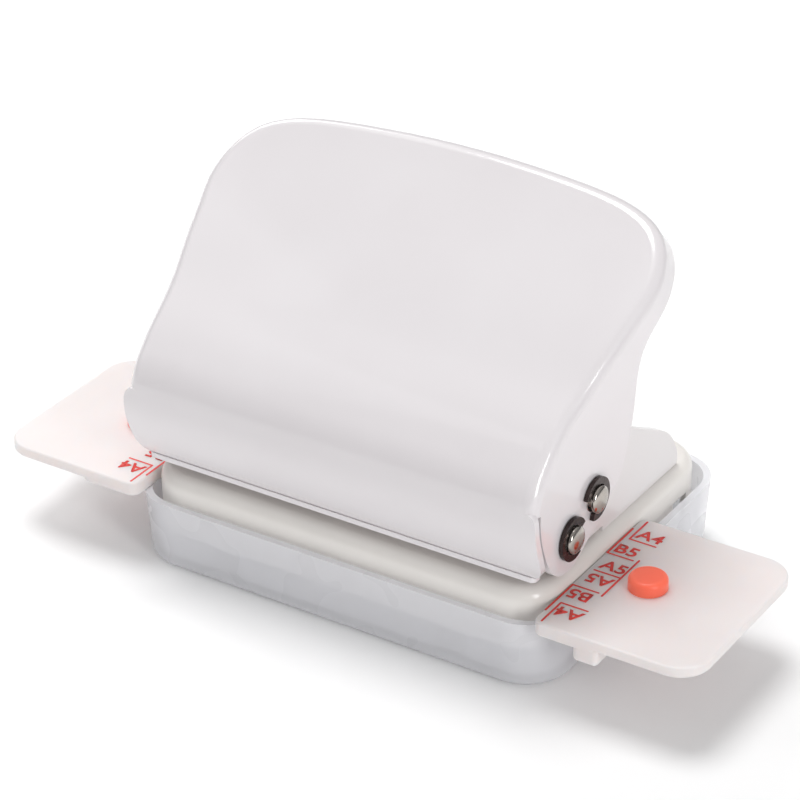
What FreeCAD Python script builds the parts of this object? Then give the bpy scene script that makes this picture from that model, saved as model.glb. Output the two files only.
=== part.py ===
import FreeCAD, Part
import os
import math

os.makedirs("parts", exist_ok=True)
V = FreeCAD.Vector

# ---------------------------------------------------------------------------
# Three hole loose-leaf punch, millimetres.
# Frame: +X to the right seen from the front, +Y to the rear, +Z up.
# Origin: underside of the chip tray, on the centre plane, below the pin row.
# ---------------------------------------------------------------------------

# ---- driving dimensions ----------------------------------------------------
plate_top = 14.3            # top of the positioning plates above the table

# pins and dies (9.5 mm loose-leaf pitch, pins three pitches apart)
pitch = 9.5
pin_gap = 3 * pitch         # 28.5
pin_x = [-pin_gap, 0.0, pin_gap]
pin_name = ["left", "centre", "right"]
pin_d = 6.0
pin_tip_rest = plate_top + 3.3
pin_top_rest = plate_top + 9.9
pin_head_d = 7.4
pin_head_h = 0.9
guide_fit = 0.05            # radial running fit of a pin in the guide web

# base cover
base_top = plate_top + 2.1
base_t = 1.0
base_w = 37.0               # half width
base_front = -14.95
base_rear = 39.2
base_skirt = plate_top - 8.0
base_skirt_rear_side = plate_top - 3.0
base_corner = 7.5
base_edge = 2.2

# die plate
die_t = 1.0
die_hole = 6.1

# frame
frame_out = 35.3            # outer face of the cheeks
frame_t = 1.2
web_z0 = base_top + 1.0     # throat height 1.0
web_t = 1.1
web_front = -8.6
web_rear = 5.7
throat_depth = 6.0          # pin row to the paper stop
cheek_front_foot = 7.4      # the cheeks stand on the base behind this line
nose_r = 4.7                # round nose of the cheeks about the pivot

# handle
handle_out = 37.35
sheet_t = 1.2
handle_swing = 30.0         # degrees
ear_r = 6.1                 # round lower end of the side cheeks
ear_dy, ear_dz = -0.55, 0.38   # its centre, from the pivot
bend_r = 2.0                # outside bend radius of the pressed shell

# axles
axle_d = 4.5
pivot_y, pivot_z = -6.23, plate_top + 8.82
push_r = 7.862
push_a0 = 26.3              # angle of the pusher above the pivot at rest
push_y = pivot_y + push_r * math.cos(math.radians(push_a0))
push_z = pivot_z + push_r * math.sin(math.radians(push_a0))
axle_end = 39.15            # half length
clip_in, clip_out = 37.50, 38.15
clip_d = 7.1
clip_mouth = 42.0           # half angle of the clip's mouth

# positioning plates
pl_in, pl_out = 37.12, 64.6
pl_half = 17.07
pl_t = 1.8                  # outer part
pl_t_in = 2.35              # thicker inner part, next to the base
pl_step = 48.2
post_x = pin_gap + 2 * pitch   # 47.5
post_d = 6.2
post_h = 2.2
post_stub = 3.6
tongue_in = 32.2            # inner end of the tongue
tongue_drop = 0.9           # the tongue lies this far below the plate's face
lug_x0, lug_x1, lug_h = 43.9, 48.15, 2.5
boss_h = 1.2

# tray
tray_t = 1.2
tray_w_top, tray_w_bot = 39.5, 38.8
tray_f_top, tray_f_bot = -16.6, -16.1
tray_b_top, tray_b_bot = 41.5, 41.0
tray_rim = plate_top - 2.25
tray_corner = 8.0
tray_notch = plate_top - pl_t_in - 0.3
tray_floor = 1.3


# ---- helpers ---------------------------------------------------------------
def box(x0, x1, y0, y1, z0, z1):
    return Part.makeBox(x1 - x0, y1 - y0, z1 - z0, V(x0, y0, z0))


def cyl_z(d, z0, z1, x=0.0, y=0.0):
    return Part.makeCylinder(d / 2.0, z1 - z0, V(x, y, z0), V(0, 0, 1))


def cyl_x(d, x0, x1, y, z):
    return Part.makeCylinder(d / 2.0, x1 - x0, V(x0, y, z), V(1, 0, 0))


def export(name, shape):
    if not shape.isValid():
        print("INVALID", name)
    shape.exportStep("parts/%s.step" % name)
    print(name, len(shape.Solids), "solids", round(shape.Volume, 1), "mm3")


def yz_wire(pts, x):
    return Part.makePolygon([V(x, p[0], p[1]) for p in pts] + [V(x, pts[0][0], pts[0][1])])


def prism_x(pts, x0, x1):
    f = Part.Face(yz_wire(pts, x0))
    return f.extrude(V(x1 - x0, 0, 0))


def rrect_wire(x0, x1, y0, y1, r, z):
    a = r * (1 - math.sqrt(0.5))
    e = []

    def ln(p, q):
        e.append(Part.makeLine(V(p[0], p[1], z), V(q[0], q[1], z)))

    def arc(p, m, q):
        e.append(Part.Arc(V(p[0], p[1], z), V(m[0], m[1], z), V(q[0], q[1], z)).toShape())

    ln((x0 + r, y0), (x1 - r, y0))
    arc((x1 - r, y0), (x1 - a, y0 + a), (x1, y0 + r))
    ln((x1, y0 + r), (x1, y1 - r))
    arc((x1, y1 - r), (x1 - a, y1 - a), (x1 - r, y1))
    ln((x1 - r, y1), (x0 + r, y1))
    arc((x0 + r, y1), (x0 + a, y1 - a), (x0, y1 - r))
    ln((x0, y1 - r), (x0, y0 + r))
    arc((x0, y0 + r), (x0 + a, y0 + a), (x0 + r, y0))
    return Part.Wire(e)


def rbox(x0, x1, y0, y1, r, z0, z1):
    return Part.Face(rrect_wire(x0, x1, y0, y1, r, z0)).extrude(V(0, 0, z1 - z0))


def edges_where(shape, test):
    out = []
    for e in shape.Edges:
        b = e.BoundBox
        if test(e, b):
            out.append(e)
    return out


def mirror_x(s):
    return s.mirror(V(0, 0, 0), V(1, 0, 0))


def single(shape):
    shape = shape.removeSplitter()
    if len(shape.Solids) == 1:
        return shape.Solids[0]
    return shape


# ---- base cover ------------------------------------------------------------
def make_base():
    outer = rbox(-base_w, base_w, base_front, base_rear, base_corner, base_skirt, base_top)
    top_e = edges_where(outer, lambda e, b: abs(b.ZMin - base_top) < 1e-4 and abs(b.ZMax - base_top) < 1e-4)
    outer = outer.makeFillet(base_edge, top_e)
    inner = rbox(-base_w + base_t, base_w - base_t, base_front + base_t, base_rear - base_t,
                 base_corner - base_t, base_skirt - 1, base_top - base_t)
    top_i = edges_where(inner, lambda e, b: abs(b.ZMin - base_top + base_t) < 1e-4 and abs(b.ZMax - base_top + base_t) < 1e-4)
    inner = inner.makeFillet(base_edge - base_t, top_i)
    s = outer.cut(inner)
    # side skirts: shorter behind the plates, and a window where each plate tongue passes
    for sx in (-1, 1):
        x0, x1 = (base_w - 3, base_w + 3) if sx > 0 else (-base_w - 3, -base_w + 3)
        s = s.cut(box(x0, x1, 27.3, base_rear - base_corner, base_skirt - 1, base_skirt_rear_side))
        s = s.cut(box(x0, x1, -9.4, 9.4, plate_top - pl_t_in - 0.3, plate_top - tongue_drop + 0.3))
    # holes over the dies and for the rivets
    for x in pin_x:
        s = s.cut(cyl_z(die_hole + 0.3, base_top - 3, base_top + 1, x, 0))
    for x, y in die_rivet_xy:
        s = s.cut(cyl_z(2.0, base_top - 3, base_top + 1, x, y))
    for x, y in frame_rivet_xy:
        s = s.cut(cyl_z(2.5, base_top - 3, base_top + 1, x, y))
    for x in stop_rivet_x:
        s = s.cut(cyl_z(1.6, base_top - 3, base_top + 1, x, throat_depth + 2.6))
    return single(s)


die_rivet_xy = [(-14.25, 4.1), (14.25, 4.1), (-14.25, -4.1), (14.25, -4.1)]
stop_rivet_x = [-14.25, 14.25]
frame_rivet_xy = [(-30.3, 15.0), (-30.3, 26.5), (30.3, 15.0), (30.3, 26.5)]


def make_die():
    z1 = base_top - base_t
    s = rbox(-34.2, 34.2, -7.0, 7.0, 1.5, z1 - die_t, z1)
    for x in pin_x:
        s = s.cut(cyl_z(die_hole, z1 - die_t - 1, z1 + 1, x, 0))
    for x, y in die_rivet_xy:
        s = s.cut(cyl_z(2.0, z1 - die_t - 1, z1 + 1, x, y))
    return single(s)


def rivet(x, y, z0, z1, d, head_d, head_h, tail_h):
    # flush countersunk-looking low head on top (z1), formed tail below (z0)
    s = cyl_z(d, z0 - tail_h, z1 + head_h, x, y)
    head = cyl_z(head_d, z1, z1 + head_h, x, y)
    head = head.makeFillet(head_h * 0.55, [e for e in head.Edges if abs(e.BoundBox.ZMin - z1 - head_h) < 1e-4 and abs(e.BoundBox.ZMax - z1 - head_h) < 1e-4])
    tail = cyl_z(head_d * 0.9, z0 - tail_h, z0, x, y)
    tail = tail.makeFillet(tail_h * 0.55, [e for e in tail.Edges if abs(e.BoundBox.ZMin - z0 + tail_h) < 1e-4 and abs(e.BoundBox.ZMax - z0 + tail_h) < 1e-4])
    core = cyl_z(d, z0, z1, x, y)
    return single(core.fuse([head, tail]))


# ---- frame -----------------------------------------------------------------
def cheek_outline():
    pv = (pivot_y, pivot_z)
    pts = []
    # throat roof, from the paper stop forward
    pts.append((cheek_front_foot, base_top))
    pts.append((cheek_front_foot, web_z0))
    pts.append((web_front, web_z0))
    # round nose about the pivot
    for a in range(-160, -286, -12):
        r = nose_r
        pts.append((pv[0] + r * math.cos(math.radians(a)), pv[1] + r * math.sin(math.radians(a))))
    pts += [(-2.9, plate_top + 15.6), (-1.0, plate_top + 17.0), (1.5, plate_top + 18.2), (5.5, plate_top + 18.9),
            (9.5, plate_top + 18.7), (13.5, plate_top + 17.6), (18.7, plate_top + 14.9), (23.7, plate_top + 12.2),
            (27.0, plate_top + 10.2), (29.2, plate_top + 8.2), (30.7, plate_top + 5.9), (31.5, plate_top + 4.0),
            (31.6, plate_top + 3.0), (31.2, base_top)]
    return pts


def make_frame():
    x0, x1 = frame_out - frame_t, frame_out
    pts = cheek_outline()
    # straight edges below, smooth curve over the top
    low = pts[:3]
    top = pts[3:]
    w = [Part.makeLine(V(x0, low[0][0], low[0][1]), V(x0, low[1][0], low[1][1])),
         Part.makeLine(V(x0, low[1][0], low[1][1]), V(x0, low[2][0], low[2][1])),
         Part.makeLine(V(x0, low[2][0], low[2][1]), V(x0, top[0][0], top[0][1]))]
    bs = Part.BSplineCurve()
    bs.interpolate([V(x0, p[0], p[1]) for p in top])
    w.append(bs.toShape())
    w.append(Part.makeLine(V(x0, top[-1][0], top[-1][1]), V(x0, low[0][0], low[0][1])))
    face = Part.Face(Part.Wire(w))
    cheek = face.extrude(V(frame_t, 0, 0))
    # foot flange riveted to the base
    foot = box(27.2, x1 - 0.01, 12.0, 29.5, base_top, base_top + frame_t)
    fe = edges_where(foot, lambda e, b: abs(b.XMin - 27.2) < 1e-4 and abs(b.XMax - 27.2) < 1e-4 and b.ZLength > 0.5)
    foot = foot.makeFillet(2.5, fe)
    cheek = cheek.fuse(foot)
    # pivot hole and curved slot for the pusher axle
    cheek = cheek.cut(cyl_x(axle_d + 0.08, x0 - 1, x1 + 1, pivot_y, pivot_z))
    sw = axle_d + 0.8
    a0, a1 = push_a0 + 1.2, push_a0 - handle_swing - 1.2
    parts = []
    n = 16
    ro, ri = push_r + sw / 2, push_r - sw / 2
    up = [(pivot_y + ro * math.cos(math.radians(a0 + (a1 - a0) * i / n)),
           pivot_z + ro * math.sin(math.radians(a0 + (a1 - a0) * i / n))) for i in range(n + 1)]
    dn = [(pivot_y + ri * math.cos(math.radians(a0 + (a1 - a0) * i / n)),
           pivot_z + ri * math.sin(math.radians(a0 + (a1 - a0) * i / n))) for i in range(n, -1, -1)]
    slot = prism_x(up + dn, x0 - 1, x1 + 1)
    cheek = cheek.cut(slot)
    for a in (a0, a1):
        cheek = cheek.cut(cyl_x(sw, x0 - 1, x1 + 1, pivot_y + push_r * math.cos(math.radians(a)),
                                pivot_z + push_r * math.sin(math.radians(a))))
    web = box(-x1 + 0.01, x1 - 0.01, web_front, web_rear, web_z0, web_z0 + web_t)
    s = cheek.fuse([mirror_x(cheek), web])
    for x in pin_x:
        s = s.cut(cyl_z(pin_d + 2 * guide_fit, web_z0 - 1, web_z0 + web_t + 1, x, 0))
    for x, y in frame_rivet_xy:
        s = s.cut(cyl_z(2.5, base_top - 1, base_top + frame_t + 1, x, y))
    # edges of the throat roof eased
    return single(s)


def make_stop():
    # angle strip on the base top: upright leg stops the sheet, foot points rearward
    y0 = throat_depth
    leg = box(-33.7, 33.7, y0, y0 + 0.8, base_top, base_top + 2.4)
    foot = box(-33.7, 33.7, y0, y0 + 4.2, base_top, base_top + 0.8)
    s = single(leg.fuse(foot))
    e = edges_where(s, lambda e, b: abs(b.ZMin - base_top - 2.4) < 1e-4 and b.XLength > 10)
    s = s.makeFillet(0.3, e)
    for x in stop_rivet_x:
        s = s.cut(cyl_z(1.6, base_top - 1, base_top + 2, x, y0 + 2.6))
    return single(s)


# ---- axles and clips -------------------------------------------------------
def make_axle(y, z):
    s = cyl_x(axle_d, -axle_end, axle_end, y, z)
    ends = [e for e in s.Edges if abs(abs(e.BoundBox.XMin) - axle_end) < 1e-4 and abs(e.BoundBox.XMax - e.BoundBox.XMin) < 1e-4]
    s = s.makeChamfer(0.45, ends)
    # clip grooves
    for sx in (-1, 1):
        a, b = sorted((sx * (clip_in - 0.03), sx * (clip_out + 0.03)))
        ring = cyl_x(axle_d + 2, a, b, y, z).cut(cyl_x(axle_d - 1.2, a - 1, b + 1, y, z))
        s = s.cut(ring)
    return single(s)


def make_clip(y, z, sx, open_deg):
    """Retaining clip: open ring with three inner teeth that reach the groove."""
    a, b = sorted((sx * clip_in, sx * clip_out))
    bore = axle_d - 1.2
    s = cyl_x(clip_d, a, b, y, z).cut(cyl_x(bore + 1.5, a - 1, b + 1, y, z))
    th = []
    for k in (180, 68, -68):
        t = box(a, b, bore / 2.0 + 0.02, clip_d / 2.0 - 0.35, -0.7, 0.7)
        t.rotate(V(0, 0, 0), V(1, 0, 0), open_deg + k)
        t.translate(V(0, y, z))
        th.append(t)
    s = s.fuse(th)
    # wide mouth
    h = math.radians(clip_mouth)
    R = clip_d
    w = prism_x([(0, 0), (R * math.cos(h), R * math.sin(h)), (R * math.cos(h), -R * math.sin(h))], a - 1, b + 1)
    w.rotate(V(0, 0, 0), V(1, 0, 0), open_deg)
    w.translate(V(0, y, z))
    s = s.cut(w)
    sol = sorted(s.Solids, key=lambda q: -q.Volume)[0]
    # arm ends rounded
    tips = []
    for e in sol.Edges:
        c = e.CenterOfMass
        if e.BoundBox.XLength > 0.6 and e.BoundBox.YLength < 1e-3 and e.BoundBox.ZLength < 1e-3:
            r = math.hypot(c.y - y, c.z - z)
            if r > clip_d / 2.0 - 0.05:
                tips.append(e)
    if len(tips) == 2:
        sol = sol.makeFillet(0.42, tips)
    return sol


# ---- handle ----------------------------------------------------------------
# side profile of the outer face, Y and height above the positioning plates
prof = [(-13.75, 5.00), (-14.55, 6.10), (-15.27, 7.55), (-16.00, 9.35), (-16.72, 11.50), (-17.20, 13.45), (-17.42, 15.40),
        (-17.30, 17.40), (-16.88, 19.22), (-16.10, 21.10), (-15.10, 22.60), (-13.72, 24.14), (-12.00, 25.94),
        (-9.50, 28.15), (-6.02, 30.62), (-2.50, 33.05), (0.64, 35.56), (4.08, 38.16), (7.97, 40.96), (12.37, 44.04),
        (17.00, 47.30), (21.50, 50.65), (26.40, 54.25)]
# front edge of the side cheeks below the relief notch
cheek_edge = [(-15.00, 17.30), (-14.95, 14.80), (-14.62, 12.60), (-13.98, 10.30), (-13.25, 8.40), (-12.55, 6.90), (-11.85, 5.40),
              (-10.90, 3.40)]
notch_z = 17.3
# half width of the free front panel against height
panel_edge = [(36.60, 18.20), (37.25, 17.80), (37.66, 17.00), (37.82, 15.80), (37.88, 13.50), (37.88, 11.20), (37.80, 9.20),
              (37.60, 7.70), (37.15, 6.60), (36.40, 5.70), (35.60, 5.10), (34.60, 4.60)]
# plan outline of the pad: distance up the slope and half width
up_y, up_z = 0.73, 0.6834
outl = [(19.0, 38.02), (22.0, 38.52), (25.0, 39.02), (28.5, 39.58), (32.4, 40.20), (35.0, 40.66), (37.5, 40.90),
        (40.5, 40.72), (43.5, 39.95), (46.2, 38.60), (48.4, 36.70), (50.2, 33.90), (51.6, 30.00), (52.6, 24.50),
        (53.4, 16.00), (53.85, 8.0), (54.0, 0.0)]


def offset_profile(pts, d):
    out = []
    n = len(pts)
    for i in range(n):
        a = pts[max(0, i - 1)]
        b = pts[min(n - 1, i + 1)]
        ty, tz = b[0] - a[0], b[1] - a[1]
        L = math.hypot(ty, tz)
        out.append((pts[i][0] + d * tz / L, pts[i][1] - d * ty / L))
    return out


def spline_x(pts, x, dz=0.0):
    bs = Part.BSplineCurve()
    bs.interpolate([V(x, p[0], p[1] + dz) for p in pts])
    return bs


def pad_prism(shrink):
    """Prism of the plan outline, swept along the pad normal."""
    ex = V(0, up_y, up_z)                # up the slope
    ez = V(0, -up_z, up_y)               # out of the pad
    org = V(0, 0, plate_top)

    def P(t, w):
        return org + ex * t + V(w, 0, 0)

    r = [(t, w - shrink) for t, w in outl[:-1]]
    # pull the top edge down by the same amount
    rr = []
    for i, (t, w) in enumerate(outl):
        a = outl[max(0, i - 1)]
        b = outl[min(len(outl) - 1, i + 1)]
        tt, tw = b[0] - a[0], b[1] - a[1]
        L = math.hypot(tt, tw)
        if i == len(outl) - 1:
            rr.append((t - shrink, 0.0))
        else:
            rr.append((t + shrink * tw / L, w - shrink * tt / L))
    left = [P(t, -w) for t, w in rr]
    right = [P(t, w) for t, w in rr[:-1]][::-1]
    w0 = handle_out - shrink
    # straight side lead-in, then the flared outline over the top
    allp = [P(12.0, -w0)] + left + right + [P(12.0, w0)]
    bs = Part.BSplineCurve()
    bs.interpolate(allp)
    n_side = 1 + 6
    u1 = bs.parameter(allp[n_side])
    u2 = bs.parameter(allp[len(allp) - 1 - n_side])
    u0, u3 = bs.FirstParameter, bs.LastParameter
    e = [bs.toShape(u0, u1), bs.toShape(u1, u2), bs.toShape(u2, u3),
         Part.makeLine(allp[-1], P(-40, w0)), Part.makeLine(P(-40, w0), P(-40, -w0)),
         Part.makeLine(P(-40, -w0), allp[0])]
    f = Part.Face(Part.Wire(e))
    f.translate(ez * -60.0)
    return f.extrude(ez * 120.0)


def profile_prism(d, far, x0=-50.0, x1=50.0):
    """Everything behind the outer side profile moved in by d."""
    pts = offset_profile(prof, d) if d else list(prof)
    bs = spline_x(pts, x0, plate_top)
    a = V(x0, pts[0][0], pts[0][1] + plate_top)
    b = V(x0, pts[-1][0], pts[-1][1] + plate_top)
    zl = plate_top - 40.0
    e = [bs.toShape(), Part.makeLine(b, V(x0, far, b.z)), Part.makeLine(V(x0, far, b.z), V(x0, far, zl)),
         Part.makeLine(V(x0, far, zl), V(x0, a.y, zl)), Part.makeLine(V(x0, a.y, zl), a)]
    return Part.Face(Part.Wire(e)).extrude(V(x1 - x0, 0, 0))


def bend_chain(s):
    """Edges where the pad meets the sides and the rear rim."""
    out = []
    for e in s.Edges:
        bb = e.BoundBox
        if bb.YMax > 45 or bb.YMin > 40 or bb.ZMin < plate_top + 4 or (bb.XLength > 60 and bb.YLength < 0.01):
            continue
        out.append(e)
    return out


def side_keep():
    """Side view of the pressed shape: what is left of the sheet after trimming."""
    H = plate_top
    rear = [(33.0, 52.30), (29.4, 49.75), (26.0, 47.20), (22.0, 44.25), (18.2, 41.50), (14.8, 38.90), (12.0, 36.2),
            (10.4, 33.3), (9.90, 30.2), (10.00, 27.0), (10.20, 23.4), (10.20, 19.8), (9.95, 16.4), (9.30, 13.4),
            (8.1, 11.3)]
    x = -50.0
    ear_y, ear_z = pivot_y + ear_dy, pivot_z + ear_dz
    a60 = math.radians(-60)
    t0 = (ear_y + ear_r * math.cos(a60), ear_z + ear_r * math.sin(a60))
    t1 = (t0[0] + 9.2 * math.cos(math.radians(30)), t0[1] + 9.2 * math.sin(math.radians(30)))
    rr = [V(x, p[0], p[1] + H) for p in rear] + [V(x, t1[0] + 0.9, t1[1] + 1.0), V(x, t1[0], t1[1])]
    bs = Part.BSplineCurve()
    bs.interpolate(rr)
    a150 = math.radians(-158)
    am = math.radians(-105)
    p0 = V(x, t0[0], t0[1])
    pm = V(x, ear_y + ear_r * math.cos(am), ear_z + ear_r * math.sin(am))
    p1 = V(x, ear_y + ear_r * math.cos(a150), ear_z + ear_r * math.sin(a150))
    p2 = V(x, -30.0, p1.z)
    p3 = V(x, -30.0, H + 80.0)
    p4 = V(x, rr[0].y, H + 80.0)
    e = [bs.toShape(), Part.makeLine(rr[-1], p0), Part.Arc(p0, pm, p1).toShape(), Part.makeLine(p1, p2),
         Part.makeLine(p2, p3), Part.makeLine(p3, p4), Part.makeLine(p4, rr[0])]
    return Part.Face(Part.Wire(e)).extrude(V(100.0, 0, 0))


def make_handle():
    outer = profile_prism(0.0, 60.0).common(pad_prism(0.0))
    outer = outer.makeFillet(bend_r, bend_chain(outer))
    inner = profile_prism(sheet_t, 70.0).common(pad_prism(sheet_t))
    inner = inner.makeFillet(bend_r - sheet_t, bend_chain(inner))
    s = outer.cut(inner)
    s = s.common(side_keep())
    # below the notch the side cheeks stand clear of the front panel
    H = plate_top
    for sx in (-1, 1):
        x0 = handle_out - sheet_t - 0.15 if sx > 0 else -45.0
        x1 = 45.0 if sx > 0 else -handle_out + sheet_t + 0.15
        bs = Part.BSplineCurve()
        bs.interpolate([V(x0, p[0], p[1] + H) for p in cheek_edge])
        p0, p1 = cheek_edge[0], cheek_edge[-1]
        w = Part.Wire([bs.toShape(), Part.makeLine(V(x0, p1[0], p1[1] + H), V(x0, -40, p1[1] + H)),
                       Part.makeLine(V(x0, -40, p1[1] + H), V(x0, -40, p0[1] + H)),
                       Part.makeLine(V(x0, -40, p0[1] + H), V(x0, p0[0], p0[1] + H))])
        s = s.cut(Part.Face(w).extrude(V(x1 - x0, 0, 0)))
    # free front panel, its lower corners rounded
    band = profile_prism(0.0, 60.0).cut(profile_prism(sheet_t, 70.0))
    ys = -30.0
    right = [V(p[0], ys, p[1] + H) for p in panel_edge]
    left = [V(-p[0], ys, p[1] + H) for p in panel_edge]
    br = Part.BSplineCurve()
    br.interpolate(right)
    bl = Part.BSplineCurve()
    bl.interpolate(left)
    w = Part.Wire([br.toShape(), Part.makeLine(right[-1], left[-1]), bl.toShape(), Part.makeLine(left[0], right[0])])
    low = band.common(Part.Face(w).extrude(V(0, 24.0, 0)))
    s = s.fuse(low)
    # lip folded in along the bottom of the front panel
    lip = rbox(-35.9, 35.9, -14.25, -11.9, 0.9, H + 4.5, H + 5.36)
    s = s.fuse(lip)
    # crease between the panel and the lip
    s = s.cut(box(-39.0, 39.0, -17.0, -13.85, H + 5.36, H + 5.60))
    for y, z, d in ((pivot_y, pivot_z, axle_d + 0.08), (push_y, push_z, axle_d + 0.04)):
        s = s.cut(cyl_x(d, -50, 50, y, z))
    sol = sorted(s.Solids, key=lambda q: -q.Volume)
    if len(sol) > 1:
        print("handle pieces", [round(q.Volume, 2) for q in sol])
    return sol[0]


# ---- pins and springs ------------------------------------------------------
def make_pin(x):
    s = cyl_z(pin_d, pin_tip_rest, pin_top_rest - pin_head_h + 0.01, x, 0)
    head = cyl_z(pin_head_d, pin_top_rest - pin_head_h, pin_top_rest, x, 0)
    head = head.makeFillet(0.3, [e for e in head.Edges if e.BoundBox.ZLength < 1e-4])
    s = s.fuse(head)
    # hollow-ground cutting tip
    hollow = Part.makeCylinder(7.0, 20.0, V(x, -10.0, pin_tip_rest - 6.35), V(0, 1, 0))
    s = s.cut(hollow)
    return single(s)


def make_spring(x):
    """Conical return spring: wire section carried round the coil, closed exactly facet by facet."""
    z0, z1 = web_z0 + web_t + 0.30, pin_top_rest - pin_head_h - 0.30
    r0, r1, wire = 4.90, 3.38, 0.24
    turns, per_turn, ns = 3.5, 20, 8
    n = int(turns * per_turn)
    rings = []
    for i in range(n + 1):
        k = i / n
        a = 2 * math.pi * turns * k
        r = r0 + (r1 - r0) * k
        c = V(x + r * math.cos(a), r * math.sin(a), z0 + (z1 - z0) * k)
        rad = V(math.cos(a), math.sin(a), 0)
        rings.append([c + rad * (wire * math.cos(2 * math.pi * j / ns)) + V(0, 0, wire * math.sin(2 * math.pi * j / ns))
                      for j in range(ns)])

    def tri(p, q, t):
        return Part.Face(Part.makePolygon([p, q, t, p]))

    faces = []
    for i in range(n):
        for j in range(ns):
            k = (j + 1) % ns
            a, b, c, d = rings[i][j], rings[i][k], rings[i + 1][k], rings[i + 1][j]
            faces.append(tri(a, b, c))
            faces.append(tri(a, c, d))
    faces.append(Part.Face(Part.makePolygon(rings[0] + [rings[0][0]])))
    faces.append(Part.Face(Part.makePolygon(rings[-1] + [rings[-1][0]])))
    sh = Part.Shell(faces)
    sh.sewShape()
    so = Part.Solid(sh)
    if so.Volume < 0:
        so.reverse()
    return so


# ---- positioning plates ----------------------------------------------------
def make_plate(sx):
    z0, z1 = plate_top - pl_t, plate_top
    ri, ro = 1.6, 5.2
    zi = plate_top - pl_t_in
    x0, x1 = pl_in, pl_out
    y0, y1 = -pl_half, pl_half

    def corner(p, q, m):
        return Part.Arc(V(p[0], p[1], z0), V(m[0], m[1], z0), V(q[0], q[1], z0)).toShape()

    k = 1 - math.sqrt(0.5)
    w = [Part.makeLine(V(x0 + ri, y0, z0), V(x1 - ro, y0, z0)),
         corner((x1 - ro, y0), (x1, y0 + ro), (x1 - ro * k, y0 + ro * k)),
         Part.makeLine(V(x1, y0 + ro, z0), V(x1, y1 - ro, z0)),
         corner((x1, y1 - ro), (x1 - ro, y1), (x1 - ro * k, y1 - ro * k)),
         Part.makeLine(V(x1 - ro, y1, z0), V(x0 + ri, y1, z0)),
         corner((x0 + ri, y1), (x0, y1 - ri), (x0 + ri * k, y1 - ri * k)),
         Part.makeLine(V(x0, y1 - ri, z0), V(x0, y0 + ri, z0)),
         corner((x0, y0 + ri), (x0 + ri, y0), (x0 + ri * k, y0 + ri * k))]
    s = Part.Face(Part.Wire(w)).extrude(V(0, 0, z1 - z0))
    top = edges_where(s, lambda e, b: b.ZLength < 1e-4)
    s = s.makeFillet(0.35, top)
    # thicker inner part
    inner = rbox(x0, pl_step, y0, y1, ri, zi, z0 + 0.6)
    ie = edges_where(inner, lambda e, b: abs(b.ZMax - zi) < 1e-4)
    inner = inner.makeFillet(0.3, ie)
    s = s.fuse(inner)
    # tongue that plugs into the window of the base skirt
    tongue = box(tongue_in, x0 + 3, -9.0, 9.0, zi, z1 - tongue_drop)
    te = edges_where(tongue, lambda e, b: abs(b.XMax - tongue_in) < 1e-4 and b.ZLength > 0.5)
    tongue = tongue.makeFillet(1.5, te)
    s = s.fuse(tongue)
    # foot lug under one edge, boss under the post
    lug = box(lug_x0, lug_x1, -16.85, -12.0, zi - lug_h, zi + 0.3)
    le = edges_where(lug, lambda e, b: (b.XLength < 1e-4 and b.YLength < 1e-4) or (abs(b.ZMax - zi + lug_h) < 1e-4))
    lug = lug.makeFillet(0.8, le)
    boss = cyl_z(7.0, zi - boss_h, z0 + 0.3, post_x, 0)
    s = s.fuse([lug, boss])
    s = s.cut(cyl_z(post_stub, zi - boss_h - 1, z1 + 1, post_x, 0))
    if sx < 0:
        # the same moulding turned half round
        s.rotate(V(0, 0, 0), V(0, 0, 1), 180.0)
    return single(s)


def make_post(sx):
    z1 = plate_top
    p = cyl_z(post_d, z1, z1 + post_h, sx * post_x, 0)
    p = p.makeFillet(0.8, [e for e in p.Edges if abs(e.BoundBox.ZMin - z1 - post_h) < 1e-4 and e.BoundBox.ZLength < 1e-4])
    stub = cyl_z(post_stub, z1 - pl_t_in - boss_h + 0.2, z1 + 0.2, sx * post_x, 0)
    return single(p.fuse(stub))


# ---- chip tray -------------------------------------------------------------
def make_tray():
    def body(inset, z0, z1, r):
        def at(z):
            k = z / tray_rim
            w = tray_w_bot + (tray_w_top - tray_w_bot) * k - inset
            f = tray_f_bot + (tray_f_top - tray_f_bot) * k + inset
            b = tray_b_bot + (tray_b_top - tray_b_bot) * k - inset
            return rrect_wire(-w, w, f, b, r, z)
        return Part.makeLoft([at(z0), at(z1)], True, True)
    outer = body(0.0, 0.0, tray_rim, tray_corner)
    e = edges_where(outer, lambda e, b: abs(b.ZMax) < 1e-4 and b.ZLength < 1e-4)
    outer = outer.makeFillet(1.6, e)
    inner = body(tray_t, tray_floor, tray_rim + 2.0, tray_corner - tray_t)
    e = edges_where(inner, lambda e, b: abs(b.ZMax - tray_floor) < 1e-4 and b.ZLength < 1e-4)
    inner = inner.makeFillet(0.9, e)
    s = outer.cut(inner)
    # snap ribs inside the front wall, below the skirt
    for x0, x1 in ((-23.5, -17.7), (18.6, 24.4)):
        s = s.fuse(box(x0, x1, tray_f_bot + 0.4, tray_f_bot + 2.3, tray_floor - 0.5, base_skirt - 0.35))
    # rim lowered under the positioning plates
    for sx in (-1, 1):
        x0, x1 = (36.9, 45.0) if sx > 0 else (-45.0, -36.9)
        s = s.cut(box(x0, x1, -22.0, pl_half + 0.5, tray_notch, tray_rim + 5))
    return single(s)


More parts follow.
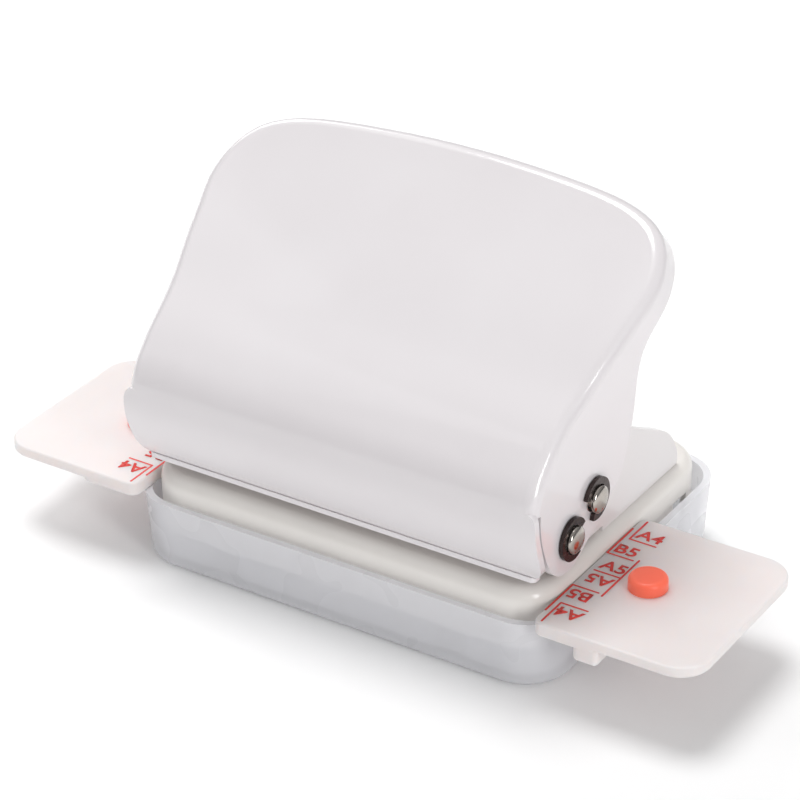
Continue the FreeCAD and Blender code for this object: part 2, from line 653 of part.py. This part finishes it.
# ---- build -----------------------------------------------------------------
export("base_plate", make_base())
export("die_plate", make_die())
zt = base_top - base_t - die_t
export("die_rivets", Part.makeCompound([rivet(x, y, zt, base_top, 1.96, 3.0, 0.15, 0.5) for x, y in die_rivet_xy]))
export("punch_frame", make_frame())
export("frame_rivets", Part.makeCompound(
    [rivet(x, y, base_top - base_t, base_top + frame_t, 2.46, 4.2, 0.8, 0.7) for x, y in frame_rivet_xy]))
export("paper_stop", make_stop())
export("stop_rivets", Part.makeCompound(
    [rivet(x, throat_depth + 2.6, base_top - base_t, base_top + 0.8, 1.56, 2.7, 0.45, 0.45) for x in stop_rivet_x]))
export("pivot_axle", make_axle(pivot_y, pivot_z))
export("pivot_clips", Part.makeCompound([make_clip(pivot_y, pivot_z, 1, -16.0), make_clip(pivot_y, pivot_z, -1, -16.0)]))
export("handle_shell", make_handle())
export("pusher_axle", make_axle(push_y, push_z))
export("pusher_clips", Part.makeCompound([make_clip(push_y, push_z, 1, 204.0), make_clip(push_y, push_z, -1, 204.0)]))
for nm, x in zip(pin_name, pin_x):
    export("punch_pin_" + nm, make_pin(x))
    export("pin_spring_" + nm, make_spring(x))
for nm, sx in (("left", -1), ("right", 1)):
    export("guide_plate_" + nm, make_plate(sx))
    export("locating_post_" + nm, make_post(sx))
export("chip_tray", make_tray())
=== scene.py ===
import bpy
import bmesh
import math
from mathutils import Matrix, Vector


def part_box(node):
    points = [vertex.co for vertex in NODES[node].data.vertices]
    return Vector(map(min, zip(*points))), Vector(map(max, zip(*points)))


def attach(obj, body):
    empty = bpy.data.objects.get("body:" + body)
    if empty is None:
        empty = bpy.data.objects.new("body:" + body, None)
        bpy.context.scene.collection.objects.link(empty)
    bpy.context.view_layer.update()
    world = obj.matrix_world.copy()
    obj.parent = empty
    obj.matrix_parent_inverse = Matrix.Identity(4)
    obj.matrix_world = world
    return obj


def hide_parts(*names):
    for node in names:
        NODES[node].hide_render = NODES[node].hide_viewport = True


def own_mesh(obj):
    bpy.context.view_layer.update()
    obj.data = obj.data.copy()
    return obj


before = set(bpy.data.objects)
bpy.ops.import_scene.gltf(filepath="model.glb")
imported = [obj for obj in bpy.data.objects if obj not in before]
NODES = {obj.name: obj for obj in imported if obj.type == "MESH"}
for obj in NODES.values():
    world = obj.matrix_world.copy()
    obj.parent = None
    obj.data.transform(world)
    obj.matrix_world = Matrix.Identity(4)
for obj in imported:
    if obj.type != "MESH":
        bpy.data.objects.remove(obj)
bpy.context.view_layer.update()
MM = 0.001

# ---------------------------------------------------------------- reference heights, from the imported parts
plate_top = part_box("guide_plate_right")[1].z
post_lo, post_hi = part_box("locating_post_right")
post_x = 0.5 * (post_lo.x + post_hi.x)


# ---------------------------------------------------------------- material helpers
class Nodes:
    """Small helper for building a node tree in code."""

    def __init__(self, name):
        self.mat = bpy.data.materials.new(name)
        self.mat.use_nodes = True
        self.t = self.mat.node_tree
        self.t.nodes.clear()
        self.out = self.t.nodes.new("ShaderNodeOutputMaterial")
        self.p = self.t.nodes.new("ShaderNodeBsdfPrincipled")
        self.t.links.new(self.p.outputs["BSDF"], self.out.inputs["Surface"])
        self.tc = self.t.nodes.new("ShaderNodeTexCoord")

    def set(self, **kw):
        for k, v in kw.items():
            self.p.inputs[k.replace("_", " ")].default_value = v
        return self

    def link(self, a, b):
        self.t.links.new(a, b)

    def mapping(self, scale=(1, 1, 1), rot=(0, 0, 0), loc=(0, 0, 0)):
        m = self.t.nodes.new("ShaderNodeMapping")
        m.inputs["Scale"].default_value = scale
        m.inputs["Rotation"].default_value = rot
        m.inputs["Location"].default_value = loc
        self.link(self.tc.outputs["Object"], m.inputs["Vector"])
        return m.outputs["Vector"]

    def noise(self, wavelength, detail=2.0, rough=0.5, stretch=(1, 1, 1), distort=0.0):
        """Noise whose lumps are about `wavelength` metres across."""
        n = self.t.nodes.new("ShaderNodeTexNoise")
        n.inputs["Scale"].default_value = 1.0
        n.inputs["Detail"].default_value = detail
        n.inputs["Roughness"].default_value = rough
        n.inputs["Distortion"].default_value = distort
        k = 1.0 / wavelength
        self.link(self.mapping(scale=(k * stretch[0], k * stretch[1], k * stretch[2])), n.inputs["Vector"])
        return n.outputs["Fac"]

    def voronoi(self, wavelength, feature="F1", rnd=1.0):
        n = self.t.nodes.new("ShaderNodeTexVoronoi")
        n.feature = feature
        n.inputs["Scale"].default_value = 1.0
        n.inputs["Randomness"].default_value = rnd
        k = 1.0 / wavelength
        self.link(self.mapping(scale=(k, k, k)), n.inputs["Vector"])
        return n.outputs["Distance"]

    def ramp(self, fac, stops):
        r = self.t.nodes.new("ShaderNodeValToRGB")
        el = r.color_ramp.elements
        while len(el) > 1:
            el.remove(el[-1])
        el[0].position, el[0].color = stops[0][0], stops[0][1]
        for pos, col in stops[1:]:
            e = el.new(pos)
            e.color = col
        self.link(fac, r.inputs["Fac"])
        return r.outputs["Color"]

    def math(self, op, a, b=None, clamp=False):
        m = self.t.nodes.new("ShaderNodeMath")
        m.operation = op
        m.use_clamp = clamp
        for i, v in enumerate((a, b)):
            if v is None:
                continue
            if isinstance(v, (int, float)):
                m.inputs[i].default_value = v
            else:
                self.link(v, m.inputs[i])
        return m.outputs[0]

    def range(self, fac, lo, hi, a=0.0, b=1.0):
        m = self.t.nodes.new("ShaderNodeMapRange")
        m.inputs["From Min"].default_value = a
        m.inputs["From Max"].default_value = b
        m.inputs["To Min"].default_value = lo
        m.inputs["To Max"].default_value = hi
        self.link(fac, m.inputs["Value"])
        return m.outputs["Result"]

    def mix(self, fac, a, b, mode="MIX"):
        m = self.t.nodes.new("ShaderNodeMix")
        m.data_type = "RGBA"
        m.blend_type = mode
        for key, v in (("Factor", fac), ("A", a), ("B", b)):
            sock = [s for s in m.inputs if s.name == key and s.type in (("VALUE",) if key == "Factor" else ("RGBA",))][0]
            if isinstance(v, (int, float, tuple, list)):
                sock.default_value = v
            else:
                self.link(v, sock)
        return [o for o in m.outputs if o.type == "RGBA"][0]

    def bump(self, *layers):
        """layers: (height socket, strength, distance in metres)"""
        prev = None
        for h, strength, dist in layers:
            b = self.t.nodes.new("ShaderNodeBump")
            b.inputs["Strength"].default_value = strength
            b.inputs["Distance"].default_value = dist
            self.link(h, b.inputs["Height"])
            if prev is not None:
                self.link(prev, b.inputs["Normal"])
            prev = b.outputs["Normal"]
        self.link(prev, self.p.inputs["Normal"])
        return self

    def position(self, axis):
        s = self.t.nodes.new("ShaderNodeSeparateXYZ")
        self.link(self.tc.outputs["Object"], s.inputs[0])
        return s.outputs[axis]


def rgb(r, g, b):
    """sRGB 0..255 to linear"""
    def f(c):
        c /= 255.0
        return c / 12.92 if c <= 0.04045 else ((c + 0.055) / 1.055) ** 2.4
    return (f(r), f(g), f(b), 1.0)


def paint(name, c_lo, c_hi, rough=0.3, coat=0.35):
    """Stoved enamel on pressed sheet: faint orange peel and a slight drift of tone and gloss."""
    m = Nodes(name)
    tone = m.noise(0.024, detail=2.0, rough=0.4)
    m.link(m.ramp(tone, [(0.15, c_lo), (0.85, c_hi)]), m.p.inputs["Base Color"])
    m.link(m.range(m.noise(0.012, detail=1.0), rough - 0.04, rough + 0.04, 0.1, 0.9), m.p.inputs["Roughness"])
    m.set(IOR=1.5)
    m.set(Coat_Weight=coat, Coat_Roughness=0.07, Coat_IOR=1.5)
    m.bump((m.noise(0.0018, detail=1.0, rough=0.4), 0.12, 0.00004))
    return m.mat


def frosted(name, tint, rough, cover, bump=0.3):
    """Moulded natural polypropylene: thin, milky and cloudy, so that what is close behind shows through."""
    m = Nodes(name)
    cloud = m.noise(0.014, detail=2.0, rough=0.4, distort=0.3)
    lo = tuple(c * 0.985 for c in tint[:3]) + (1.0,)
    m.link(m.ramp(cloud, [(0.1, lo), (0.9, tint)]), m.p.inputs["Base Color"])
    m.link(m.range(m.noise(0.009, detail=1.0), rough - 0.04, rough + 0.04, 0.1, 0.9), m.p.inputs["Roughness"])
    m.set(IOR=1.49, Alpha=cover)
    m.bump((m.noise(0.0024, detail=1.0), bump, 0.00005))
    return m.mat


def plastic(name, c_lo, c_hi, rough=0.35, sss=0.0, trans=0.0, grain=0.0006, grain_s=0.10, painted_glow=0.0):
    m = Nodes(name)
    tone = m.noise(0.010, detail=2.0, rough=0.4)
    m.link(m.ramp(tone, [(0.12, c_lo), (0.88, c_hi)]), m.p.inputs["Base Color"])
    m.link(m.range(m.noise(0.006, detail=1.0), rough - 0.05, rough + 0.05, 0.1, 0.9), m.p.inputs["Roughness"])
    m.set(IOR=1.49, Transmission_Weight=trans)
    if sss:
        m.set(Subsurface_Weight=sss, Subsurface_Radius=(0.0022, 0.0018, 0.0016), Subsurface_Scale=1.6)
    # painted glow: emission in the part's own colour makes it give off light, though it is no lamp
    if painted_glow:
        m.p.inputs["Emission Color"].default_value = c_hi
        m.set(Emission_Strength=painted_glow)
    m.bump((m.noise(0.0024, detail=1.0), 0.10, 0.00004), (m.noise(grain, detail=1.0), grain_s, 0.00001))
    return m.mat


def metal(name, color, rough, rings_x=False, blotch=0.0, rings_z=False):
    """Turned or drawn steel: fine machining lines and slight tone patches."""
    m = Nodes(name)
    patch = m.noise(0.003, detail=4.0, rough=0.6)
    dark = tuple(c * (1.0 - blotch) for c in color[:3]) + (1.0,)
    m.link(m.ramp(patch, [(0.35, dark), (0.62, color)]), m.p.inputs["Base Color"])
    m.set(Metallic=1.0)
    m.link(m.range(m.noise(0.0008, detail=3.0), rough - 0.05, rough + 0.08, 0.3, 0.7), m.p.inputs["Roughness"])
    if rings_x:
        fine = m.noise(0.00022, detail=2.0, stretch=(1.0, 0.04, 0.04))
    elif rings_z:
        fine = m.noise(0.00022, detail=2.0, stretch=(0.05, 0.05, 1.0))
    else:
        fine = m.noise(0.00030, detail=2.0)
    m.bump((fine, 0.25, 0.00002))
    return m.mat


# ---------------------------------------------------------------- finishes
white_paint = paint("handle_enamel", rgb(232, 227, 229), rgb(237, 233, 235), rough=0.36, coat=1.0)
frame_paint = paint("frame_enamel", rgb(232, 228, 228), rgb(239, 236, 236), rough=0.34, coat=0.6)
base_paint = paint("base_enamel", rgb(240, 236, 231), rgb(247, 243, 238), rough=0.34, coat=0.25)
tray_mat = frosted("tray_polypropylene", rgb(250, 250, 254), 0.28, 0.54)
plate_mat = plastic("plate_polypropylene", rgb(236, 227, 226), rgb(241, 233, 232), rough=0.38, sss=0.80, trans=0.06)
# the orange post carries a painted glow (emission 0.16), so it reads brighter than its lamps alone would light it
post_mat = plastic("post_orange", rgb(253, 104, 78), rgb(255, 116, 90), rough=0.32, sss=0.55, grain=0.0008, painted_glow=0.16)
ink_mat = plastic("print_red", rgb(226, 58, 52), rgb(234, 72, 64), rough=0.45, grain=0.0006)
nickel = metal("axle_nickel", (0.52, 0.48, 0.44, 1.0), 0.15, rings_x=True, blotch=0.2)
black_oxide = metal("clip_black_oxide", (0.075, 0.058, 0.056, 1.0), 0.24, blotch=0.35)
pin_steel = metal("pin_hardened_steel", (0.56, 0.56, 0.57, 1.0), 0.18, rings_z=True, blotch=0.1)
spring_steel = metal("spring_steel", (0.42, 0.41, 0.40, 1.0), 0.28, blotch=0.2)
die_steel = metal("die_zinc_steel", (0.60, 0.60, 0.62, 1.0), 0.33, blotch=0.18)
rivet_steel = metal("rivet_steel", (0.66, 0.65, 0.64, 1.0), 0.26, blotch=0.15)

FINISH = {
    "base_plate": base_paint, "die_plate": die_steel, "die_rivets": rivet_steel, "punch_frame": frame_paint,
    "frame_rivets": rivet_steel, "paper_stop": die_steel, "stop_rivets": rivet_steel, "pivot_axle": nickel,
    "pusher_axle": nickel, "pivot_clips": black_oxide, "pusher_clips": black_oxide, "handle_shell": white_paint,
    "chip_tray": tray_mat, "guide_plate_left": plate_mat, "guide_plate_right": plate_mat,
    "locating_post_left": post_mat, "locating_post_right": post_mat,
}
for side in ("left", "centre", "right"):
    FINISH["punch_pin_" + side] = pin_steel
    FINISH["pin_spring_" + side] = spring_steel
for name, ob in NODES.items():
    for s in ob.material_slots:
        s.material = FINISH[name]


# ---------------------------------------------------------------- axles: turned pins with domed, chamfered ends and a clip groove
def lathe_x(name, profile, y, z, seg=64):
    """Solid of revolution about the X line through (y, z); profile is (x, r), in metres, from end to end."""
    bm = bmesh.new()
    rings = []
    for x, r in profile:
        if r < 1e-9:
            rings.append([bm.verts.new((x, y, z))])
        else:
            rings.append([bm.verts.new((x, y + r * math.cos(2 * math.pi * k / seg), z + r * math.sin(2 * math.pi * k / seg)))
                          for k in range(seg)])
    for a, b in zip(rings, rings[1:]):
        for k in range(seg):
            j = (k + 1) % seg
            if len(a) == 1:
                bm.faces.new((a[0], b[j], b[k]))
            elif len(b) == 1:
                bm.faces.new((a[k], a[j], b[0]))
            else:
                bm.faces.new((a[k], a[j], b[j], b[k]))
    bmesh.ops.recalc_face_normals(bm, faces=bm.faces[:])
    for f in bm.faces:
        f.smooth = True
    me = bpy.data.meshes.new(name)
    bm.to_mesh(me)
    bm.free()
    ob = bpy.data.objects.new(name, me)
    bpy.context.scene.collection.objects.link(ob)
    return ob


def sharpen(me, angle):
    """Mark edges steeper than angle as sharp, so flats and chamfers stay crisp."""
    bm = bmesh.new()
    bm.from_mesh(me)
    for e in bm.edges:
        if len(e.link_faces) == 2 and e.calc_face_angle(0.0) > angle:
            e.smooth = False
    bm.to_mesh(me)
    bm.free()


def axle(name, node, body):
    lo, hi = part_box(node)
    y, z = 0.5 * (lo.y + hi.y), 0.5 * (lo.z + hi.z)
    clip_lo, clip_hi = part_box("pivot_clips")
    R = 0.5 * min(hi.y - lo.y, hi.z - lo.z)
    end = hi.x
    g1, g0 = clip_hi.x + 0.02 * MM, clip_hi.x - 0.67 * MM
    rg = R - 0.62 * MM
    half = [(end, 0.0), (end - 0.02 * MM, 0.55 * MM), (end - 0.07 * MM, 1.05 * MM), (end - 0.17 * MM, R - 0.72 * MM),
            (end - 0.30 * MM, R - 0.36 * MM), (end - 0.48 * MM, R - 0.09 * MM), (end - 0.62 * MM, R),
            (g1 + 0.05 * MM, R), (g1, R - 0.05 * MM), (g1, rg), (g0, rg), (g0, R - 0.05 * MM), (g0 - 0.05 * MM, R)]
    prof = half + [(-x, r) for x, r in reversed(half)]
    ob = lathe_x(name, prof, y, z)
    sharpen(ob.data, math.radians(40))
    ob.data.materials.append(nickel)
    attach(ob, body)
    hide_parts(node)
    return ob


axle("pivot_axle_turned", "pivot_axle", "base")
axle("pusher_axle_turned", "pusher_axle", "lever")


# ---------------------------------------------------------------- return springs: wound wire that closes up under the pin head
def coil(side, wire=0.24 * MM, turns=3.5, per_turn=64, seg=12):
    node = "pin_spring_" + side
    lo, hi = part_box(node)
    plo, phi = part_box("punch_pin_" + side)
    cx, cy = 0.5 * (plo.x + phi.x), 0.5 * (plo.y + phi.y)
    z0, z1 = lo.z + wire, hi.z - wire
    r0, r1 = 4.90 * MM, 3.38 * MM
    n = int(turns * per_turn)
    bm = bmesh.new()
    rings = []
    for i in range(n + 1):
        k = i / n
        a = 2 * math.pi * turns * k
        r = r0 + (r1 - r0) * k
        ring = []
        for j in range(seg):
            t = 2 * math.pi * j / seg
            rr = r + wire * math.cos(t)
            ring.append(bm.verts.new((cx + rr * math.cos(a), cy + rr * math.sin(a), z0 + (z1 - z0) * k + wire * math.sin(t))))
        rings.append(ring)
    for a, b in zip(rings, rings[1:]):
        for j in range(seg):
            k = (j + 1) % seg
            bm.faces.new((a[j], a[k], b[k], b[j]))
    bm.faces.new(rings[0])
    bm.faces.new(rings[-1])
    bmesh.ops.recalc_face_normals(bm, faces=bm.faces[:])
    for f in bm.faces:
        f.smooth = True
    me = bpy.data.meshes.new("spring_wound_" + side)
    bm.to_mesh(me)
    bm.free()
    ob = bpy.data.objects.new("spring_wound_" + side, me)
    bpy.context.scene.collection.objects.link(ob)
    sharpen(ob.data, math.radians(50))
    ob.data.materials.append(spring_steel)
    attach(ob, "base")
    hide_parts(node)
    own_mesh(ob)
    return ob


for side in ("left", "centre", "right"):
    coil(side)

# ---------------------------------------------------------------- printed scale on the positioning plates
INK_UP, INK_DOWN = 0.025 * MM, 0.015 * MM


def slab(bm, pts, z0, z1):
    """Closed flat prism over the outline pts (x, y in metres, counter-clockwise)."""
    lo = [bm.verts.new((p[0], p[1], z0)) for p in pts]
    hi = [bm.verts.new((p[0], p[1], z1)) for p in pts]
    n = len(pts)
    bm.faces.new(list(reversed(lo)))
    bm.faces.new(hi)
    for i in range(n):
        j = (i + 1) % n
        bm.faces.new((lo[i], lo[j], hi[j], hi[i]))


def stroke(bm, a, b, w, z0, z1, n=6):
    """A printed line with rounded ends."""
    a, b = Vector((a[0], a[1])), Vector((b[0], b[1]))
    d = (b - a).normalized()
    ang = math.atan2(d.y, d.x)
    pts = []
    for k in range(n + 1):
        t = ang - math.pi / 2 + math.pi * k / n
        pts.append((b.x + w / 2 * math.cos(t), b.y + w / 2 * math.sin(t)))
    for k in range(n + 1):
        t = ang + math.pi / 2 + math.pi * k / n
        pts.append((a.x + w / 2 * math.cos(t), a.y + w / 2 * math.sin(t)))
    slab(bm, pts, z0, z1)


def label_mesh(text, height, depth):
    """Mesh of a short label, lower left corner at the origin, cap height `height`."""
    cu = bpy.data.curves.new("tmp_label", "FONT")
    cu.body = text
    cu.size = 1.0
    cu.resolution_u = 6
    cu.offset = 0.022
    cu.space_character = 1.02
    ob = bpy.data.objects.new("tmp_label", cu)
    bpy.context.scene.collection.objects.link(ob)
    bpy.context.view_layer.update()
    me = bpy.data.meshes.new_from_object(ob)
    bpy.data.objects.remove(ob)
    bpy.data.curves.remove(cu)
    xs = [v.co.x for v in me.vertices]
    ys = [v.co.y for v in me.vertices]
    k = height / (max(ys) - min(ys))
    x0, y0 = min(xs), min(ys)
    width = (max(xs) - min(xs)) * k
    bm = bmesh.new()
    bm.from_mesh(me)
    bpy.data.meshes.remove(me)
    for v in bm.verts:
        v.co = Vector(((v.co.x - x0) * k, (v.co.y - y0) * k, 0.0))
    bmesh.ops.remove_doubles(bm, verts=bm.verts, dist=1e-7)
    res = bmesh.ops.extrude_face_region(bm, geom=bm.faces[:])
    for v in [g for g in res["geom"] if isinstance(g, bmesh.types.BMVert)]:
        v.co.z += depth
    bmesh.ops.recalc_face_normals(bm, faces=bm.faces[:])
    return bm, width


# upright (X, from |Y| to |Y|), leg (|Y|, from X to X), label (text, X centre, baseline |Y|), all mm for the right plate
MARKS = [
    dict(x=38.40, y0=10.52, y1=16.25, leg=10.52, lx=(38.40, 43.0), text="A4", cx=40.95, base=11.35),
    dict(x=37.40, y0=5.30, y1=13.40, leg=5.30, lx=(37.40, 41.9), text="B5", cx=39.75, base=6.08),
    dict(x=42.75, y0=-5.78, y1=5.78, leg=0.0, lx=(38.15, 42.75), text="A5", cx=40.30, base=0.88),
]
LABEL_H = 2.55
LABEL_WIDE = 1.07
LINE_W = 0.34


def print_marks(name, body, turned):
    bm = bmesh.new()
    z0, z1 = plate_top - INK_DOWN, plate_top + INK_UP

    def put(x, y, flip):
        # flip: the half of the scale that is read from the other side
        return (x * MM, (-y if flip else y) * MM)

    for m in MARKS:
        for flip in ((False, True) if m["text"] != "A5" else (False,)):
            stroke(bm, put(m["x"], m["y0"], flip), put(m["x"], m["y1"], flip), LINE_W * MM, z0, z1)
            stroke(bm, put(m["lx"][0], m["leg"], flip), put(m["lx"][1], m["leg"], flip), LINE_W * MM, z0, z1 - 0.004 * MM)
        for flip in (False, True):
            lb, width = label_mesh(m["text"], LABEL_H * MM, INK_UP + INK_DOWN)
            cx = m["cx"] * MM
            for v in lb.verts:
                x, y = (v.co.x - width / 2) * LABEL_WIDE, v.co.y + m["base"] * MM
                if flip:
                    x, y = -x, -y
                v.co = Vector((cx + x, y, v.co.z + z0))
            tmp = bpy.data.meshes.new("tmp_mark")
            lb.to_mesh(tmp)
            lb.free()
            bm.from_mesh(tmp)
            bpy.data.meshes.remove(tmp)
    if turned:
        bmesh.ops.rotate(bm, verts=bm.verts, cent=(0, 0, 0), matrix=Matrix.Rotation(math.pi, 3, "Z"))
    bmesh.ops.recalc_face_normals(bm, faces=bm.faces[:])
    me = bpy.data.meshes.new(name)
    bm.to_mesh(me)
    bm.free()
    me.materials.append(ink_mat)
    ob = bpy.data.objects.new(name, me)
    bpy.context.scene.collection.objects.link(ob)
    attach(ob, body)
    return ob


print_marks("scale_print_right", "plate_right", False)
print_marks("scale_print_left", "plate_left", True)

# ---------------------------------------------------------------- stage, light and camera
sc = bpy.context.scene
bm = bmesh.new()
bmesh.ops.create_grid(bm, x_segments=2, y_segments=2, size=3.0)
for v in bm.verts:
    v.co.z = -0.05 * MM    # just clear of the tray's underside, so the two faces don't coincide
me = bpy.data.meshes.new("floor")
bm.to_mesh(me)
bm.free()
floor = bpy.data.objects.new("floor", me)
sc.collection.objects.link(floor)
fm = Nodes("floor_paper")
fm.link(fm.ramp(fm.noise(0.4, detail=2.0), [(0.3, (0.945, 0.945, 0.945, 1)), (0.7, (0.955, 0.955, 0.955, 1))]), fm.p.inputs["Base Color"])
fm.set(Roughness=0.9, Emission_Strength=0.03)
fm.p.inputs["Emission Color"].default_value = (1.0, 1.0, 1.0, 1.0)
me.materials.append(fm.mat)

world = bpy.data.worlds.new("studio")
sc.world = world
world.use_nodes = True
wt = world.node_tree
bg = wt.nodes["Background"]
w_tc = wt.nodes.new("ShaderNodeTexCoord")
w_sep = wt.nodes.new("ShaderNodeSeparateXYZ")
w_ramp = wt.nodes.new("ShaderNodeValToRGB")
wt.links.new(w_tc.outputs["Generated"], w_sep.inputs[0])
wt.links.new(w_sep.outputs["Z"], w_ramp.inputs["Fac"])
w_ramp.color_ramp.elements[0].position = 0.0
w_ramp.color_ramp.elements[0].color = (0.34, 0.34, 0.36, 1.0)
w_ramp.color_ramp.elements[1].position = 0.75
w_ramp.color_ramp.elements[1].color = (1.0, 1.0, 1.0, 1.0)
wt.links.new(w_ramp.outputs["Color"], bg.inputs["Color"])
bg.inputs["Strength"].default_value = 0.45


def area(name, loc, target, size, power, color=(1, 1, 1), size_y=None):
    l = bpy.data.lights.new(name, "AREA")
    l.shape = "RECTANGLE"
    l.size = size
    l.size_y = size_y or size
    l.energy = power
    l.color = color
    o = bpy.data.objects.new(name, l)
    o.location = loc
    o.rotation_euler = (Vector(target) - Vector(loc)).to_track_quat("-Z", "Y").to_euler()
    sc.collection.objects.link(o)
    return o


centre = (0.0, 0.008, 0.035)
sun = bpy.data.lights.new("top_sun", "SUN")
sun.energy = 1.50
sun.angle = math.radians(28)
so = bpy.data.objects.new("top_sun", sun)
so.rotation_euler = Vector((0.25, -0.15, -1.0)).to_track_quat("-Z", "Y").to_euler()
sc.collection.objects.link(so)
area("softbox_left", (-0.9, -0.45, 0.9), centre, 0.7, 1.0)
area("softbox_right", (0.92, -0.40, 0.36), centre, 0.20, 3.4, size_y=0.5)
area("softbox_back_left", (-0.42, 0.26, 0.36), (-0.03, 0.0, 0.01), 0.26, 0.70)

# camera: measured viewing direction on the object
AZ, EL, ROLL = math.radians(33.392), math.radians(29.75), math.radians(-0.98)
back = Vector((math.sin(AZ) * math.cos(EL), -math.cos(AZ) * math.cos(EL), math.sin(EL)))
right = Vector((math.cos(AZ), math.sin(AZ), 0.0))
up = back.cross(right)
c, s = math.cos(ROLL), math.sin(ROLL)
cam_x = right * c + up * s
cam_y = up * c - right * s
cam = bpy.data.cameras.new("camera")
cam.sensor_width = 36.0
cam.lens = 3113.6 / 800.0 * 36.0
cam.clip_start = 0.01
cam.clip_end = 20.0
co = bpy.data.objects.new("camera", cam)
pos = Vector((0.234143, -0.350591, 0.259465 + plate_top))
M = Matrix((cam_x, cam_y, back)).transposed().to_4x4()
M.translation = pos
co.matrix_world = M
sc.collection.objects.link(co)
sc.camera = co
sc.view_settings.view_transform = "Standard"
